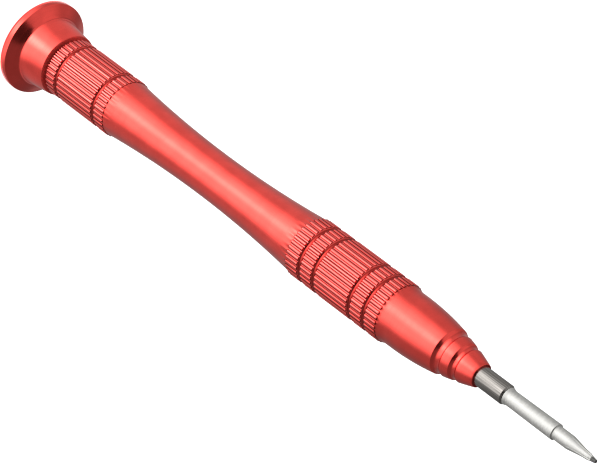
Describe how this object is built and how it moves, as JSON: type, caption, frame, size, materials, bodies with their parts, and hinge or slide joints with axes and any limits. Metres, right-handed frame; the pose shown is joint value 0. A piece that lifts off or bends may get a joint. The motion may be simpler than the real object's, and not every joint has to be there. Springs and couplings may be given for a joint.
{
  "type": "eyeglass screwdriver",
  "caption": "Pocket screwdriver for spectacle screws: flared swivel cap, waisted and knurled red aluminium handle, steel nose socket and a pull-out cross-point bit.",
  "frame": {"origin": "centre of the swivel cap's end face, on which the tool stands", "axes": "+Z along the tool's axis from the cap to the driving point; X and Y are equal, the tool is round"},
  "size_m": [0.0162, 0.0162, 0.127],
  "materials": {
    "red_anodised": "satin red anodised",
    "bronze": "turned bearing bronze",
    "bright_steel": "fine ground",
    "gunmetal_steel": "turned, dark nickel",
    "nickel": "nickel plated magnet",
    "dark_polymer": "moulded"
  },
  "bodies": {
    "handle": {"handle_barrel": "red_anodised", "pivot_screw": "bright_steel", "thrust_washer": "dark_polymer", "bit_socket": "gunmetal_steel", "socket_magnet": "nickel"},
    "swivel_head": {"swivel_cap": "red_anodised", "cap_cover": "red_anodised", "cap_bush": "bronze", "spring_washer": "bright_steel"},
    "bit": {"driver_bit": "bright_steel"}
  },
  "joints": [
    {"name": "cap_spin", "type": "hinge", "parent": "handle", "child": "swivel_head", "pos_m": [0, 0, 0.005], "axis": [0, 0, 1], "continuous": true},
    {"name": "bit_pull", "type": "slide", "parent": "handle", "child": "bit", "axis": [0, 0, 1], "range_m": [0, 0.012]}
  ]
}
